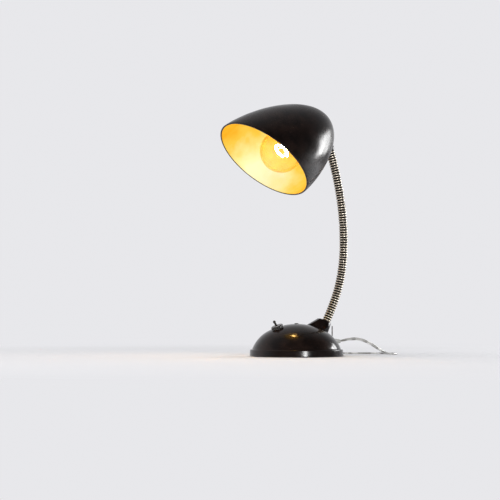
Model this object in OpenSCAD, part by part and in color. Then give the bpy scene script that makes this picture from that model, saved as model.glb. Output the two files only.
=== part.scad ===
// Gooseneck desk lamp with a moulded base, a ribbed metal neck and a helmet shade.
// Millimetres, +Z up. The origin is at the centre of the felt's underside, on the table.
// The lamp is mirror-symmetric about the plane X = 0: the shade and the switch are at -Y,
// the neck and the cord leave at +Y.

/* [Base] */
// Diameter of the rim band
base_d = 140; // [130:1:150]
// Height of the dome's crown above the table
crown_z = 48.6; // [46:0.1:52]
// Height of the rim band's top above the table
band_z = 10.2; // [8:0.1:12]
// Radius of the dome's crown
crown_r = 90; // [88:1:94]
// Angle from the crown's axis at which the shoulder begins
shoulder_at = 28; // [26:1:30]
// Radius of the dome's shoulder
shoulder_r = 52; // [50:1:54]
// Wall of the base moulding
base_wall = 3; // [2.5:0.1:3.6]
// Thickness of the felt pad
felt_t = 1.6; // [1:0.1:2]
// Thickness of the steel bottom plate
plate_t = 1.5; // [1:0.1:2]
// Height of the cast ballast disc
ballast_h = 10; // [8:0.5:11]
// Diameter of the cast ballast disc
ballast_d = 100; // [90:1:104]
// Diameter of the tie rod that holds plate, ballast and moulding together
tie_d = 4; // [3:0.5:5]

/* [Switch] */
// Distance of the switch from the base's centre
switch_at = 34; // [32:0.5:36]
// Diameter of the switch's threaded bushing
bushing_d = 12; // [10:0.5:12.5]
// Diameter of the knurled ring nut
ring_nut_d = 18; // [16:0.5:19]
// Height of the knurled ring nut
ring_nut_h = 4; // [3:0.5:5]
// Length of the lever above its pivot
lever_l = 11.5; // [10:0.5:14]
// Throw of the lever to each side of its middle
lever_throw = 12; // [8:1:14]

/* [Neck] */
// Outer diameter over the ribs
hose_d = 13.2; // [12:0.1:14]
// Length of each of the seven lengths of hose
hose_l = 38.3; // [36:0.1:40]
// Ribs on each length of hose
hose_ribs = 10; // [6:1:12]
// Distance of the neck's foot behind the base's centre
foot_y = 54.4; // [52:0.1:56]
// Height of the neck's foot above the table
foot_z = 51.5; // [50:0.1:54]
// Diameter of the threaded end tubes
stud_d = 10; // [9:0.5:10]
// Largest bend at each of the neck's six joints
bend_max = 14; // [10:1:14]

/* [Shade] */
// Outer radius of the round opening
shade_r = 77; // [74:0.5:80]
// Depth from the opening to the crown
shade_h = 124; // [120:1:128]
// How far the crown is raked back from the opening's centre
shade_rake = 32.5; // [28:0.5:36]
// Wall of the shade
shade_wall = 2.4; // [2:0.1:2.8]
// Distance of the opening's centre in front of the neck's upper end
shade_y = 120.909001; // [118:0.000001:123]
// Height of the opening's centre over the neck's upper end, which it hangs below
shade_z = -18.815523; // [-21:0.000001:-17]
// Lean of the shade's axis from upright, towards the rear
shade_lean = 41; // [39:0.5:43]

/* [Lampholder and bulb] */
// Diameter of the bulb's globe
globe_d = 65; // [60:1:66]
// Distance from the globe's centre to the end contact
bulb_l = 71; // [70:1:73]
// Outer diameter of the screw cap
cap_d = 26; // [25.5:0.1:26.4]
// Outer diameter of the lampholder
holder_d = 37; // [35:0.5:38]
// Length of the lampholder's shell
holder_l = 34; // [30:1:36]

/* [Cord] */
// Width of the flat twin cord
cord_w = 4.4; // [4:0.1:4.6]
// Thickness of the flat twin cord
cord_t = 2.6; // [2.2:0.1:2.8]
// Radius of the coil's outermost turn
coil_r = 30.6; // [30:0.1:31]
// Turns of the coil in each of its four layers, without the climbs
coil_turns = 1.875; // [1.875:1:2.875]
// Length of the plug's body
plug_l = 36; // [32:1:38]
// Thickness of the plug's body
plug_t = 13.7; // [13:0.1:14]

/* [Hidden] */

$fn = 64;
eps = 0.01;
fit = 0.05;        // radial clearance of a piece in its bore
gap = 0.3;         // clearance between pieces that must not touch
seat = 0.1;        // clearance under a piece that is clamped on its seat

phenolic = [0.10, 0.075, 0.065];
nickel = [0.72, 0.68, 0.60];
steel = [0.55, 0.56, 0.58];
brass = [0.78, 0.62, 0.32];
clear = [0.80, 0.80, 0.76];

// ---------------------------------------------------------------- dome of the base
base_r = base_d / 2;
shell_z = 0.6;
plate_z = felt_t;
plate_top = plate_z + plate_t;
plate_r = base_r - base_wall - 0.6;
recess_r = plate_r + gap;
step_r = recess_r - 3;
ballast_z = plate_top + seat;
ballast_top = ballast_z + ballast_h;
dome_cz = crown_z - crown_r;
shoulder_c = (crown_r - shoulder_r) * [sin(shoulder_at), cos(shoulder_at)] + [0, dome_cz];

// Angle on the shoulder at which a dome thinned by t reaches height z.
function shoulder_end(t, z) = acos((z - shoulder_c[1]) / (shoulder_r - t));
// Radius of the dome thinned by t, at height z on its shoulder.
function dome_r(t, z) = shoulder_c[0] + (shoulder_r - t) * sin(shoulder_end(t, z));
// Half outline of the dome thinned by t, from the crown down to height z.
function dome_line(t, z) = concat(
  [for (i = [0:6]) let (a = shoulder_at * i / 6)
    [(crown_r - t) * sin(a), dome_cz + (crown_r - t) * cos(a)]],
  [for (i = [1:8]) let (a = shoulder_at + (shoulder_end(t, z) - shoulder_at) * i / 8)
    shoulder_c + (shoulder_r - t) * [sin(a), cos(a)]]);

// ---------------------------------------------------------------- neck
leans = [29, 23, 12, 2, -4, -10, -15, -20];
rib_pitch = hose_l / hose_ribs;
rib_r = hose_d / 2;
valley_r = rib_r - 1.2;
socket_r = valley_r - 0.4;
nose_r = socket_r - gap;
bore_r = 3.4;
joint_gap = (valley_r * sin(bend_max) + gap) / 2;
hose_sides = 12;

// Centre of the arc that one length of hose follows is never needed: an arc of
// constant curvature is integrated in closed form from its first and last lean.
function arc_move(a, b, l) = abs(b - a) < 0.01
  ? l * [sin(a), cos(a)]
  : l / ((b - a) * PI / 180) * [cos(a) - cos(b), sin(b) - sin(a)];
function joint_at(i) = i == 0
  ? [foot_y, foot_z]
  : joint_at(i - 1) + arc_move(leans[i - 1], leans[i], hose_l);
// Lean and place at distance d along length i, running on straight past its ends.
function lean_at(i, d) = let (t = min(max(d / hose_l, 0), 1)) leans[i] + (leans[i + 1] - leans[i]) * t;
function place_at(i, d) = let (c = min(max(d, 0), hose_l), a = lean_at(i, c))
  joint_at(i) + arc_move(leans[i], a, c) + (d - c) * [sin(a), cos(a)];

// Puts its children at a place in the lamp's middle plane, their Z leaning rearwards.
module leaning(p, lean) {
  translate([0, p[0], p[1]]) rotate([-lean, 0, 0]) children();
}

// Depths along the foot's axis, counted down from the foot of the hose.
foot_p = [foot_y, foot_z];
foot_lean = leans[0];
foot_seat = 23;
foot_socket = 3;
washer_t = 1;
foot_nut_h = 4;
foot_stud_l = foot_seat + washer_t + foot_nut_h + 3 * seat + 1.5;

// Heights along the head's axis, counted up from the top of the hose.
head_p = joint_at(7);
head_lean = leans[7];
collar_h = 4.2;
collar_r = rib_r + 0.6;
head_stud_l = collar_h + 9;
lug_r = 7.6;
lug_tip_r = 5.2;
lug_l = 22;

// ---------------------------------------------------------------- switch
switch_lean = -asin(switch_at / crown_r);
switch_p = [-switch_at, dome_cz + crown_r * cos(switch_lean)];
bushing_r = bushing_d / 2;
body_drop = base_wall + 1.2;
body_l = 20;
pivot_up = 2;
lever_r = 1.8;

// ---------------------------------------------------------------- shade and bulb
shade_tilt = 8;
shade_power = 1.26;
shade_steps = 11;
shade_sides = 60;
globe_r = globe_d / 2;
globe_y = 14.8;
globe_z = 31.5;
contact_up = 11;
holder_up = bulb_l + contact_up;
holder_base_r = holder_d / 2 - 2.5;
pad_r = holder_base_r + 0.5;
screw_x = holder_base_r - 5.5;
lead_up = holder_up - 4.6;
shade_p = head_p + [-shade_y, shade_z];
globe_p = shade_p + in_plane(shade_lean, globe_y, globe_z);
bulb_lean = shade_lean + shade_tilt;
// A step of y to the rear and z up in a frame that leans rearwards, seen in the middle plane.
function in_plane(lean, y, z) = [y * cos(lean) + z * sin(lean), z * cos(lean) - y * sin(lean)];
// Half outline of the shade thinned by t, from the opening to the crown.
function shade_line(t) = [for (i = [0:shade_steps]) let (a = 90 * i / shade_steps)
  [(shade_r - t) * cos(a), (shade_h - t) * pow(sin(a), shade_power)]];
// The raked dome thinned by t, as rings of points that slide rearwards as they rise.
module raked_dome(t) {
  n = shade_sides;
  line = shade_line(t);
  rake = shade_rake / shade_h;
  rings = concat(t > 0 ? [[shade_r - t, -1]] : [], [for (i = [0:shade_steps - 1]) line[i]]);
  last = len(rings) - 1;
  points = concat([for (q = rings, j = [0:n - 1])
      [q[0] * cos(360 * j / n), q[0] * sin(360 * j / n) + rake * q[1], q[1]]],
    [[0, rake * line[shade_steps][1], line[shade_steps][1]]]);
  polyhedron(points, concat([[for (j = [0:n - 1]) j]],
    [for (k = [0:last - 1], j = [0:n - 1]) let (a = k * n, b = a + n, m = (j + 1) % n)
      each [[a + j, b + j, b + m], [a + j, b + m, a + m]]],
    [for (j = [0:n - 1]) [last * n + j, len(points) - 1, last * n + (j + 1) % n]]));
}

// Puts its children in the shade's frame: Z from the opening to the crown, Y to the rear.
module in_shade() {
  leaning(shade_p, shade_lean) children();
}
// Puts its children on the bulb's axis, Z up from the globe's centre to the lampholder.
module on_bulb() {
  in_shade() translate([0, globe_y, globe_z]) rotate([-shade_tilt, 0, 0]) children();
}

// ---------------------------------------------------------------- tubes along a path
function unit(v) = v / norm(v);
// Catmull-Rom point at parameter t of the path's stretch i, with k points a stretch.
function spline_point(p, i, t) = let (
    n = len(p) - 1, a = p[max(i - 1, 0)], b = p[i], c = p[min(i + 1, n)], d = p[min(i + 2, n)])
  b + 0.5 * t * (c - a + t * (2 * a - 5 * b + 4 * c - d + t * (3 * (b - c) + d - a)));
function spline(p, k) = concat(
  [for (i = [0:len(p) - 2], j = [0:k - 1]) spline_point(p, i, j / k)], [p[len(p) - 1]]);
function heading(p, i) = unit(p[min(i + 1, len(p) - 1)] - p[max(i - 1, 0)]);

// A solid tube along p, oval with half width a across and half height b, of n sides.
module tube(p, a, b, n) {
  points = [for (i = [0:len(p) - 1]) let (
      h = heading(p, i), side = unit(cross(h, abs(h[2]) > 0.99 ? [0, 1, 0] : [0, 0, 1])),
      up = cross(side, h))
    for (j = [0:n - 1]) p[i] + a * cos(360 * j / n) * side + b * sin(360 * j / n) * up];
  last = (len(p) - 1) * n;
  sides = [for (i = [0:len(p) - 2], j = [0:n - 1]) let (
      k = i * n, m = (j + 1) % n)
    each [[k + j, k + n + j, k + n + m], [k + j, k + n + m, k + m]]];
  polyhedron(points, concat(sides,
    [[for (j = [0:n - 1]) j], [for (j = [n - 1:-1:0]) last + j]]));
}

// ---------------------------------------------------------------- cord
exit_z = 21.8;
bush_r = 4.8;
bush_flange = 5.2;
bush_in = dome_r(base_wall, exit_z + bush_flange) - 1.4;
cord_pts = [
  [0, 50, 21.8], [0, 60, 21.8], [0, 70, 21.8], [0, 80, 22], [0, 91, 23.8], [0, 103, 25.1],
  [0, 115, 24.8], [0, 127, 22], [0, 139, 17.2], [0, 149, 12.2], [0, 158, 7.6], [0, 166, 4.2],
  [0, 173, 2.2], [0, 179, 1.4], [-1, 185.2, 1.3], [-4, 191, 1.3], [-8.5, 195.4, 1.3],
  [-14.2, 198.1, 1.3], [-20.7, 199, 1.3], [-26.8, 197.8, 1.3], [-32.3, 194.8, 1.3],
  [-36.7, 190, 1.3], [-48, 172.9, 1.3], [-60, 154.8, 1.3], [-72, 136.7, 1.4],
  [-84, 118.5, 1.9], [-90.5, 108.7, 2.2]
];
coil_c = [-71.6, 81.7];
coil_from = 146.5;       // direction from the coil's middle to where the cord enters
coil_z = 2.2;            // the tie passes under the lowest turn
layer_z = cord_t + 0.5;
turn_w = cord_w + 0.5;
climb = 0.5;             // turns over which the coil climbs a layer
coil_all = 4 * coil_turns + 3 * climb;
coil_steps = 24;
// Turns wound inwards after a turns of the coil: in, out, in and out again, with each
// reversal in the middle of a climb.
function coil_in(a) = let (
    s = a + climb / 2, k = min(floor(s / (coil_turns + climb)), 3),
    b = s - k * (coil_turns + climb) - climb / 2)
  k % 2 == 0 ? b : coil_turns - b;
// Layers climbed after a turns of the coil.
function coil_up(a) = let (
    k = min(floor(a / (coil_turns + climb)), 3), b = a - k * (coil_turns + climb) - coil_turns)
  k + (b > 0 && k < 3 ? (1 - cos(180 * min(b / climb, 1))) / 2 : 0);
function coil_point(a) = let (
    r = coil_r - turn_w * coil_in(a), t = coil_from + 360 * a)
  [coil_c[0] + r * cos(t), coil_c[1] + r * sin(t), coil_z + layer_z * coil_up(a)];
coil_mid = [for (i = [0:round(coil_all * coil_steps)]) coil_point(i / coil_steps)];
along = [cos(coil_from + 90), sin(coil_from + 90), 0];
coil_in_p = coil_point(0);
coil_out_p = coil_mid[len(coil_mid) - 1];
plug_z = plug_t / 2;
tail_l = 36;
plug_p = [coil_out_p[0], coil_out_p[1], plug_z] + tail_l * along;
coil_path = concat([coil_in_p - cord_w * along], coil_mid, [
  coil_out_p + 6 * along, coil_out_p + 12 * along, coil_out_p + 17 * along - [0, 0, 0.8],
  coil_out_p + 23 * along - [0, 0, 2.6], coil_out_p + 28.5 * along - [0, 0, 4.2],
  plug_p - 3 * along, plug_p]);
run_path = concat(spline(cord_pts, 2), [coil_in_p - cord_w * along]);

// Clear space between two oval stretches of cord whose centres lie at p and q.
function oval_gap(p, q) = let (
    h = norm([p[0] - q[0], p[1] - q[1]]), v = abs(p[2] - q[2]),
    k = norm([h / cord_w, v / cord_t]))
  norm([h, v]) * (1 - 1 / max(k, eps));
coil_gap = min([for (i = [0:len(coil_mid) - 13], j = [i + 12:len(coil_mid) - 1])
  oval_gap(coil_mid[i], coil_mid[j])]);
function path_length(p) = len(p) < 2 ? 0
  : [for (i = 0, s = 0; i < len(p); i = i + 1,
      s = i < len(p) ? s + norm(p[i] - p[i - 1]) : s) s][len(p) - 1];
echo(coil_gap = coil_gap, cord_length = path_length(run_path) + path_length(coil_path));
echo(joints = [for (i = [0:7]) joint_at(i)], head = head_p, switch = switch_p,
  switch_lean = switch_lean, plug = plug_p, foot_r = dome_r(0, band_z));

// ================================================================ base
module dome_solid(t, z) {
  rotate_extrude() polygon(concat(dome_line(t, z), [[0, z]]));
}
module boss() {
  hull() {
    leaning(foot_p, foot_lean) translate([0, 0, -26]) cylinder(r1 = 10.5, r2 = 8.2, h = 26, $fn = 32);
    translate([-3, 41.5, foot_z + 3.6]) rotate([0, 90, 0]) cylinder(r = 1.4, h = 6, $fn = 24);
    translate([-2, 20, 44.5]) rotate([0, 90, 0]) cylinder(r = 2, h = 4, $fn = 24);
  }
}
module base_shell() color(phenolic) difference() {
  union() {
    rotate_extrude() polygon([[0, shell_z], [base_r - 0.6, shell_z], [base_r, shell_z + 0.8],
      [base_r, band_z - 0.9], [base_r - 0.5, band_z - 0.2], [base_r - 1.2, band_z],
      [base_r - 2, band_z - 0.3], [dome_r(0, band_z) + 0.4, band_z - 0.4], [0, band_z - 0.4]]);
    dome_solid(0, band_z - 0.5);
    boss();
  }
  difference() {
    union() {
      dome_solid(base_wall, plate_top + 4);
      translate([0, 0, plate_top]) cylinder(r = step_r, h = 6);
    }
    leaning(foot_p, foot_lean) translate([0, 0, -foot_seat]) cylinder(r = 8.5, h = foot_seat + 4);
    translate([0, 0, crown_z - base_wall - 3]) cylinder(d = tie_d + 6, h = 6);
  }
  translate([0, 0, -eps]) cylinder(r = recess_r, h = plate_top + eps);
  leaning(foot_p, foot_lean) translate([0, 0, -foot_seat - 1]) cylinder(d = stud_d + 2 * fit, h = 40);
  leaning(foot_p, foot_lean) translate([0, 0, -foot_socket]) cylinder(r = rib_r + gap, h = 20);
  leaning(switch_p, switch_lean) translate([0, 0, -10]) cylinder(d = bushing_d + 2 * fit, h = 20);
  translate([0, 0, crown_z - 12]) cylinder(d = tie_d + 2 * fit, h = 20);
  translate([0, bush_in - 4, exit_z]) rotate([-90, 0, 0]) cylinder(r = bush_r + fit, h = 30);
  plug_hole() cylinder(r = 3, h = 12, center = true);
  translate([6, 61.5, 8]) cylinder(r = 0.8 + fit, h = 40);
}
// Puts its children on the dome's left front, square to its surface.
module plug_hole() {
  z = 29;
  a = shoulder_end(0, z);
  rotate([0, 0, 146.5]) translate([0, dome_r(0, z), z]) rotate([-a, 0, 0]) children();
}
module blanking_plug() color([0.05, 0.05, 0.05]) plug_hole() translate([0, 0, -base_wall]) {
  cylinder(r = 3 - fit, h = 1.6);
  translate([0, 0, -1 - gap]) cylinder(r = 4, h = 1);
  translate([0, 0, -gap - 0.1]) cylinder(r = 2.6, h = gap + 0.2);
}
module cord_hook() color(steel) {
  translate([6, 61.5, 14]) cylinder(r = 0.8, h = 30.2, $fn = 24);
  translate([6, 61.5, 44.2]) sphere(r = 0.8, $fn = 24);
}
module base_plate() color(steel) translate([0, 0, plate_z]) difference() {
  cylinder(r = plate_r, h = plate_t);
  translate([0, 0, -eps]) cylinder(d = tie_d + 2 * fit, h = plate_t + 1);
  translate([0, 0, -eps]) cylinder(d1 = tie_d + 4, d2 = tie_d, h = 1.2);
}
module felt_pad() color([0.10, 0.20, 0.14]) cylinder(r = plate_r - 1, h = felt_t);
module ballast() color([0.20, 0.20, 0.21]) translate([0, 0, ballast_z]) difference() {
  rotate_extrude() polygon([[0, 0], [ballast_d / 2, 0], [ballast_d / 2, ballast_h - 3],
    [ballast_d / 2 - 3, ballast_h], [0, ballast_h]]);
  translate([0, 0, -1]) cylinder(d = tie_d + 1, h = ballast_h + 2);
}
module tie_rod() color(steel) {
  translate([0, 0, plate_z]) cylinder(d1 = tie_d + 3.4, d2 = tie_d, h = 1.1);
  translate([0, 0, plate_z]) cylinder(d = tie_d, h = crown_z - plate_z - 1.5);
}
module ballast_nut() color(steel) translate([0, 0, ballast_top + seat]) difference() {
  cylinder(d = 2 * tie_d, h = 0.8 * tie_d, $fn = 6);
  translate([0, 0, -1]) cylinder(d = tie_d + 2 * fit, h = 10);
}
// The low slotted nut whose head shows on the crown.
module crown_nut() color([0.16, 0.13, 0.12]) difference() {
  union() {
    translate([0, 0, crown_z + 0.05]) cylinder(d1 = tie_d + 2.4, d2 = tie_d + 1.4, h = 0.8);
    translate([0, 0, crown_z - 1.2]) cylinder(d = tie_d, h = 1.3);
  }
  translate([-5, -0.4, crown_z + 0.4]) cube([10, 0.8, 2]);
}

// ================================================================ switch
module switch_nut() color([0.09, 0.08, 0.08]) leaning(switch_p, switch_lean)
  translate([0, 0, seat]) difference() {
    union() {
      cylinder(d = ring_nut_d - 1.2, h = ring_nut_h);
      for (i = [0:23]) rotate([0, 0, 15 * i]) translate([ring_nut_d / 2 - 1, 0, 0.4])
        cylinder(r = 1, h = ring_nut_h - 1.2, $fn = 8);
    }
    translate([0, 0, -1]) cylinder(d = bushing_d + 2 * fit, h = 10);
  }
module switch_bushing() color(steel) leaning(switch_p, switch_lean) difference() {
  translate([0, 0, -body_drop]) cylinder(d = bushing_d, h = body_drop + ring_nut_h + 0.8);
  translate([0, 0, pivot_up]) cylinder(r1 = 2, r2 = 4.6, h = 6);
  translate([0, 0, -body_drop - 1]) cylinder(r = 2.7, h = body_drop + 8);
}
module switch_body() color([0.12, 0.08, 0.06]) leaning(switch_p, switch_lean) difference() {
  translate([-7.5, -10, -body_drop - seat - body_l]) cube([15, 20, body_l]);
  translate([0, 0, -body_drop - 8]) cylinder(r = 4, h = 9);
}
// The dolly turns on a ball in the bushing and reaches into the switch's body.
module switch_lever() color([0.07, 0.06, 0.06]) leaning(switch_p, switch_lean)
  translate([0, 0, pivot_up]) rotate([lever_throw, 0, 0]) {
    sphere(r = 2.4);
    translate([0, 0, -7.5]) cylinder(r = 1.1, h = 7.5, $fn = 32);
    cylinder(r1 = lever_r - 0.4, r2 = lever_r, h = lever_l - 2, $fn = 32);
    translate([0, 0, lever_l - 2.2]) sphere(r = 2.2);
  }
module switch_terminals() color(brass) leaning(switch_p, switch_lean)
  for (x = [-4, 4]) translate([x - 1.5, -2, -body_drop - 2 * seat - body_l - 4]) cube([3, 4, 4]);

// ================================================================ wiring in the base
block_p = [0, 19, ballast_top + seat];
module terminal_block() color([0.85, 0.83, 0.76]) translate(block_p) difference() {
  translate([-10, -6, 0]) cube([20, 12, 9]);
  for (x = [-5, 5]) translate([x, 0, 4]) rotate([90, 0, 0]) cylinder(r = 1.6, h = 30, center = true);
  for (x = [-5, 5], y = [-3, 3]) translate([x, y, 4]) cylinder(r = 1.5 + fit, h = 10);
}
module terminal_screws() color(brass) for (x = [-5, 5], y = [-3, 3])
  translate(block_p + [x, y, 5.9]) difference() {
    cylinder(r = 1.5, h = 3.4);
    translate([-2, -0.3, 2.8]) cube([4, 0.6, 1]);
  }
lead_r = 0.8;
module lead(p) { tube(spline(p, 3), lead_r, lead_r, 6); }
module base_leads() color([0.75, 0.72, 0.62]) for (s = [-1, 1]) {
  x = 5 * s;
  z = block_p[2] + 4;
  lead([[1.1 * s, 49.5, exit_z], [1.6 * s, 46, exit_z - 1.5], [3.5 * s, 38, z + 0.4],
    [x, 30, z], [x, 24, z]]);
  lead([[x, 14, z], [x, 8, z], [4.4 * s, -2, z - 0.6], [4 * s, -13, 17], [4 * s, -18, 18.2],
    [4 * s, -21.5, 19]]);
}

// ================================================================ neck
// The threaded tube inside the foot of the neck, with its washer and nut in the base.
module foot_stud() color(steel) leaning(foot_p, foot_lean) difference() {
  union() {
    translate([0, 0, -foot_stud_l]) cylinder(d = stud_d, h = foot_stud_l - foot_socket - seat);
  }
  translate([0, 0, -foot_stud_l - 1]) cylinder(r = bore_r, h = foot_stud_l + 10);
}
module foot_washer() color(steel) leaning(foot_p, foot_lean)
  translate([0, 0, -foot_seat - seat - washer_t]) difference() {
    cylinder(r = 8, h = washer_t);
    translate([0, 0, -1]) cylinder(d = stud_d + 2 * fit, h = 5);
  }
module foot_nut() color(brass) leaning(foot_p, foot_lean)
  translate([0, 0, -foot_seat - 2 * seat - washer_t - foot_nut_h]) difference() {
    cylinder(r = 8, h = foot_nut_h, $fn = 6);
    translate([0, 0, -1]) cylinder(d = stud_d + 2 * fit, h = 8);
  }

// One length of hose. Its rings run up the ribs outside and back down the bore. A nose
// at the top turns in the next length's socket, so no light shows through at a joint.
function hose_outside(from, to) = concat(
  [[from, valley_r]],
  [for (k = [0:hose_ribs - 1]) each [[rib_pitch * (k + 0.5), rib_r],
    [k == hose_ribs - 1 ? to : rib_pitch * (k + 1), valley_r]]]);
function nose_line() = [[hose_l, nose_r], [hose_l + 1.7, nose_r - 0.35], [hose_l + 3, nose_r - 1.1]];
function socket_line() = [[4.4, bore_r], [4.2, socket_r]];
module hose(i) {
  has_nose = i < 6;
  has_socket = i > 0;
  from = has_socket ? joint_gap : -foot_socket;
  to = has_nose ? hose_l - joint_gap : hose_l;
  line = concat(hose_outside(from, to),
    has_nose ? concat([[to + 0.05, nose_r]], nose_line(), [[hose_l + 3, bore_r]]) : [[to, bore_r]],
    [[hose_l * 0.66, bore_r], [hose_l * 0.33, bore_r]],
    has_socket ? concat(socket_line(), [[from, socket_r]]) : [[from, bore_r]]);
  n = hose_sides;
  m = len(line);
  points = [for (q = line) let (c = place_at(i, q[0]), a = lean_at(i, q[0]))
    for (j = [0:n - 1]) let (x = q[1] * cos(360 * j / n), y = q[1] * sin(360 * j / n))
      [x, c[0] + y * cos(a), c[1] - y * sin(a)]];
  faces = [for (k = [0:m - 1], j = [0:n - 1]) let (
      u = k * n, v = ((k + 1) % m) * n, w = (j + 1) % n)
    each [[u + j, v + j, v + w], [u + j, v + w, u + w]]];
  color(nickel) polyhedron(points, faces);
}
module neck_hose_1() { hose(0); }
module neck_hose_2() { hose(1); }
module neck_hose_3() { hose(2); }
module neck_hose_4() { hose(3); }
module neck_hose_5() { hose(4); }
module neck_hose_6() { hose(5); }
module neck_hose_7() { hose(6); }

// ================================================================ head
module head_collar() color([0.07, 0.06, 0.06]) leaning(head_p, head_lean) difference() {
  rotate_extrude() polygon([[0, seat], [collar_r - 0.5, seat], [collar_r, 0.7],
    [collar_r, collar_h - seat], [0, collar_h - seat]]);
  translate([0, 0, -1]) cylinder(d = stud_d + 2 * fit, h = 20);
}
module head_stud() color(steel) leaning(head_p, head_lean) difference() {
  translate([0, 0, seat]) cylinder(d = stud_d, h = head_stud_l);
  translate([0, 0, -1]) cylinder(r = bore_r, h = head_stud_l + 5);
}
// The tapered lug that the shade's wall swells into round the head's threaded tube.
module lug() {
  leaning(head_p, head_lean) translate([0, 0, collar_h]) {
    cylinder(r1 = lug_r, r2 = lug_tip_r, h = lug_l - collar_h);
    translate([0, 0, lug_l - collar_h]) sphere(r = lug_tip_r);
  }
}
module shade() color(phenolic) difference() {
  union() {
    in_shade() raked_dome(0);
    lug();
  }
  difference() {
    in_shade() raked_dome(shade_wall);
    on_bulb() translate([0, 0, holder_up]) cylinder(r = pad_r, h = 20);
    leaning(head_p, head_lean) translate([0, 0, -2]) cylinder(r = lug_r + 1, h = lug_l + 2);
  }
  leaning(head_p, head_lean) translate([0, 0, -4]) cylinder(r = collar_r + gap, h = 4 + collar_h);
  leaning(head_p, head_lean) cylinder(d = stud_d + 2 * fit, h = head_stud_l + 1);
  leaning(head_p, head_lean) cylinder(r = bore_r, h = lug_l + 2);
  on_bulb() for (s = [-1, 1]) translate([screw_x * s, 0, holder_up - 1]) cylinder(r = 1.5 + fit, h = 4.5);
}
module holder_base() color([0.12, 0.09, 0.08]) on_bulb() translate([0, 0, holder_up - seat - 9]) difference() {
  union() {
    cylinder(r = holder_base_r, h = 9);
    translate([0, 0, -3]) cylinder(d = holder_d - 9, h = 4);
  }
  translate([0, 0, -4]) cylinder(r = 9, h = 4);
  for (s = [-1, 1]) translate([screw_x * s, 0, -5]) cylinder(r = 1.5 + fit, h = 20);
  for (s = [-1, 1]) translate([screw_x * s, 0, -5]) cylinder(r = 2.9, h = 10);
  translate([0, holder_base_r - 6, 4.5]) rotate([-90, 0, 0]) cylinder(r = 3, h = 10);
}
module holder_screws() color(steel) on_bulb() for (s = [-1, 1])
  translate([screw_x * s, 0, holder_up - seat - 4]) {
    translate([0, 0, -0.2]) cylinder(r = 1.5, h = 7.2);
    translate([0, 0, -1.7]) cylinder(r = 2.7, h = 1.6);
  }
module holder_contact() color(brass) on_bulb() translate([0, 0, bulb_l + seat]) {
  translate([-2.5, -7, 0]) cube([5, 14, 0.6]);
  for (y = [-7, 5]) translate([-2.5, y, 0]) cube([5, 2, contact_up - 9 - 3 * seat]);
}
module holder_shell() color([0.12, 0.09, 0.08]) on_bulb()
  translate([0, 0, holder_up - 2 * seat - 9 - holder_l]) difference() {
    rotate_extrude() polygon([[0, 0], [holder_d / 2 - 2.5, 0], [holder_d / 2 - 1.5, 1],
      [holder_d / 2 - 1, holder_l - 6], [holder_d / 2, holder_l - 5], [holder_d / 2, holder_l], [0, holder_l]]);
    translate([0, 0, -1]) cylinder(d = cap_d + 1.2, h = holder_l + 2);
    translate([0, 0, holder_l - 3.4]) cylinder(d = holder_d - 9 + 2 * fit, h = 5);
  }

// Half outline of the glass thinned by t: the globe, then the neck down to the cap.
neck_l = 44;
cap_l = 23.4;
function glass_line(t) = concat(
  [for (i = [0:14]) let (a = -90 + 128 * i / 14) (globe_r - t) * [cos(a), sin(a)]],
  [for (i = [1:8]) let (
      a = 38, p = (globe_r - t) * [cos(a), sin(a)], q = [cap_d / 2 - 1.5 - t, neck_l], u = i / 8)
    p * (1 - u) * (1 - u) * (1 - u) + 3 * (p + 9 * [-sin(a), cos(a)]) * u * (1 - u) * (1 - u)
      + 3 * (q - [0, 9]) * u * u * (1 - u) + q * u * u * u]);
module bulb_glass() color([0.95, 0.93, 0.85, 0.5]) on_bulb() difference() {
  rotate_extrude() polygon(concat(glass_line(0), [[0, neck_l]]));
  rotate_extrude() polygon(concat(glass_line(0.9), [[0, neck_l + 1]]));
}
module bulb_stem() color([0.85, 0.88, 0.85]) on_bulb() {
  translate([0, 0, 22]) cylinder(r1 = 2.4, r2 = 4, h = 12);
  translate([0, 0, 34]) cylinder(r1 = 4, r2 = 10.6, h = 10);
}
// The filament is an open ring round the bulb's axis. Two leads and three supports
// hang it from the foot of the stem.
filament_r = 11;
filament_gap = 50;
module bulb_filament() color([0.9, 0.6, 0.2]) on_bulb() {
  rotate([0, 0, 90 + filament_gap / 2]) rotate_extrude(angle = 360 - filament_gap)
    translate([filament_r, 0]) circle(r = 1.1, $fn = 24);
  for (a = [filament_gap / 2 + 2 : (360 - filament_gap - 4) / 4 : 360])
    rotate([0, 0, 90 + a]) translate([filament_r, 0, 0]) rotate([0, -atan((filament_r - 1.5) / 22.5), 0])
      cylinder(r = 0.35, h = norm([filament_r - 1.5, 22.5]) - 1, $fn = 16);
}
module bulb_cap() color(nickel) on_bulb() translate([0, 0, neck_l + seat]) difference() {
  rotate_extrude() polygon(concat([[0, -4], [cap_d / 2 - 0.4, -4], [cap_d / 2 - 0.4, -1]],
    [for (i = [0:5]) each [[cap_d / 2, 1 + 3.2 * i], [cap_d / 2 - 0.9, 2.6 + 3.2 * i]]],
    [[cap_d / 2 - 3, cap_l - 2.4], [cap_d / 2 - 6, cap_l], [0, cap_l]]));
  translate([0, 0, -5]) cylinder(d = cap_d - 1.8, h = 5 - seat);
  translate([0, 0, -1]) cylinder(d = cap_d - 4, h = cap_l - 0.4);
}
module bulb_contact() color(brass) on_bulb() translate([0, 0, neck_l + cap_l + 2 * seat])
  cylinder(r1 = 5.6, r2 = 3.4, h = bulb_l - neck_l - cap_l - 2 * seat);
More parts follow.
